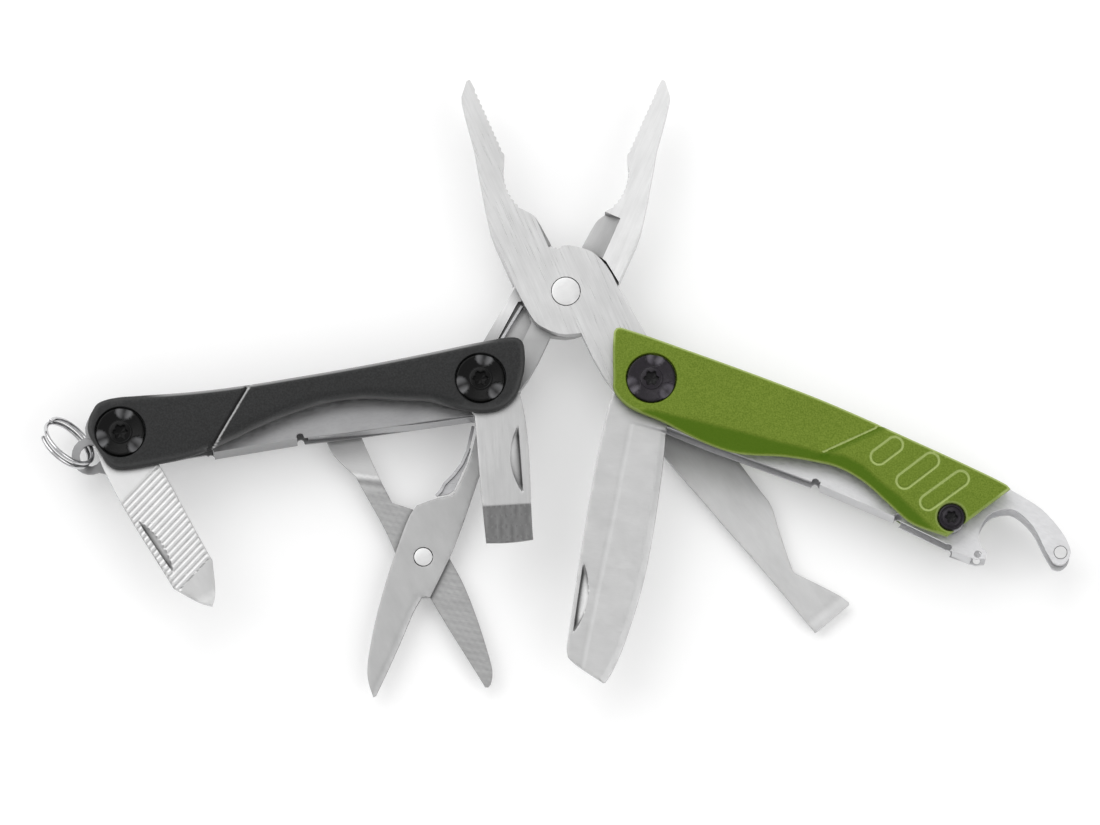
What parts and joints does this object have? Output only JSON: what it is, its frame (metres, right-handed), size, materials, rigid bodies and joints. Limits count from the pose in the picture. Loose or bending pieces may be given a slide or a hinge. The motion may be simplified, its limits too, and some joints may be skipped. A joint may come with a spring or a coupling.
{
  "type": "butterfly multi tool",
  "caption": "Pocket butterfly-opening multi tool with spring pliers, scissors, knife, file, driver, package and bottle openers, lying fanned open.",
  "frame": {"origin": "middle of the bounding box's bottom, on the plane the back scales rest on", "axes": "+Y towards the plier tips, +X towards the green handle, +Z out of the front scales"},
  "size_m": [0.141, 0.0854, 0.0131],
  "materials": {
    "jaw_steel": "brushed along the jaw, satin",
    "frame_steel": "satin, fine stamped grain",
    "blade_steel": "bead-finished flats with brushed grinds",
    "spring_steel": "satin spring temper",
    "washer_steel": "satin",
    "polished_steel": "polished",
    "black_scale": "matte black coating, fine texture",
    "green_scale": "satin olive-green anodised look, fine sparkle",
    "black_screw": "gloss black",
    "dark_screw": "semi-gloss purplish dark grey"
  },
  "bodies": {
    "plier_pivot": {"plier_rivet": "polished_steel"},
    "front_jaw": {"front_jaw": "jaw_steel"},
    "back_jaw": {"back_jaw": "jaw_steel", "plier_spring": "spring_steel"},
    "left_handle": {"left_frame": "frame_steel", "left_front_scale": "black_scale", "left_back_scale": "black_scale", "left_pivot_screw": "black_screw", "left_pivot_barrel": "black_screw", "left_rear_screw": "black_screw", "left_rear_barrel": "black_screw", "left_pivot_front_washer": "washer_steel", "left_pivot_back_washer": "washer_steel", "left_rear_front_washer": "washer_steel", "left_rear_back_spacer": "washer_steel", "left_rear_spacer": "washer_steel", "left_detent_spring": "spring_steel"},
    "right_handle": {"right_frame": "frame_steel", "hook_pin": "polished_steel", "right_front_scale": "green_scale", "right_back_scale": "green_scale", "right_pivot_screw": "dark_screw", "right_pivot_barrel": "dark_screw", "right_end_screw": "dark_screw", "right_end_barrel": "dark_screw", "right_pivot_front_washer": "washer_steel", "right_pivot_back_washer": "washer_steel", "right_end_front_spacer": "washer_steel", "right_end_back_spacer": "washer_steel", "right_end_spacer": "washer_steel", "right_detent_spring": "spring_steel"},
    "knife": {"knife_blade": "blade_steel"},
    "package_opener": {"package_opener": "blade_steel"},
    "flat_driver": {"flat_driver": "blade_steel"},
    "file": {"file": "blade_steel"},
    "scissors": {"scissors_blade": "blade_steel", "scissors_rivet": "polished_steel", "scissors_spring": "spring_steel"},
    "scissors_lever": {"scissors_lever": "blade_steel"},
    "lanyard": {"lanyard_ring": "polished_steel"}
  },
  "joints": [
    {"name": "jaw_grip", "type": "hinge", "parent": "plier_pivot", "child": "front_jaw", "pos_m": [0.0015, 0.01293, 0.0066], "axis": [0, 0, -1], "range_deg": [0, 47]},
    {"name": "back_jaw_close", "type": "hinge", "parent": "plier_pivot", "child": "back_jaw", "pos_m": [0.0015, 0.01293, 0.0066], "axis": [0, 0, 1], "range_deg": [-6, 47.5]},
    {"name": "left_handle_fold", "type": "hinge", "parent": "back_jaw", "child": "left_handle", "pos_m": [-0.01018, -0.00008, 0.0066], "axis": [0, 0, 1], "range_deg": [-122.6, 15]},
    {"name": "right_handle_fold", "type": "hinge", "parent": "front_jaw", "child": "right_handle", "pos_m": [0.01319, -0.00008, 0.0066], "axis": [0, 0, 1], "range_deg": [-17, 136]},
    {"name": "knife_fold", "type": "hinge", "parent": "right_handle", "child": "knife", "pos_m": [0.01319, -0.00008, 0.01003], "axis": [0, 0, 1], "range_deg": [-57, 76.8]},
    {"name": "package_opener_fold", "type": "hinge", "parent": "right_handle", "child": "package_opener", "pos_m": [0.01319, -0.00008, 0.00173], "axis": [0, 0, 1], "range_deg": [-112, 29.5]},
    {"name": "flat_driver_fold", "type": "hinge", "parent": "left_handle", "child": "flat_driver", "pos_m": [-0.01018, -0.00008, 0.01121], "axis": [0, 0, -1], "range_deg": [-62, 84.5]},
    {"name": "scissors_fold", "type": "hinge", "parent": "left_handle", "child": "scissors", "pos_m": [-0.01018, -0.00008, 0.00347], "axis": [0, 0, -1], "range_deg": [-80, 62]},
    {"name": "scissors_squeeze", "type": "hinge", "parent": "scissors", "child": "scissors_lever", "pos_m": [-0.01807, -0.02328, 0.00264], "axis": [0, 0, -1], "range_deg": [0, 50]},
    {"name": "file_fold", "type": "hinge", "parent": "left_handle", "child": "file", "pos_m": [-0.05942, -0.00757, 0.01121], "axis": [0, 0, 1], "range_deg": [-111.7, 68.3]},
    {"name": "lanyard_ring_swing", "type": "hinge", "parent": "left_handle", "child": "lanyard", "pos_m": [-0.06381, -0.00928, 0.00422], "axis": [0, 0, 1], "range_deg": [-30, 30]}
  ],
  "couplings": [
    {"joint": "back_jaw_close", "follows": "left_handle_fold", "ratio": -0.385},
    {"joint": "right_handle_fold", "follows": "left_handle_fold", "ratio": -1.107}
  ]
}
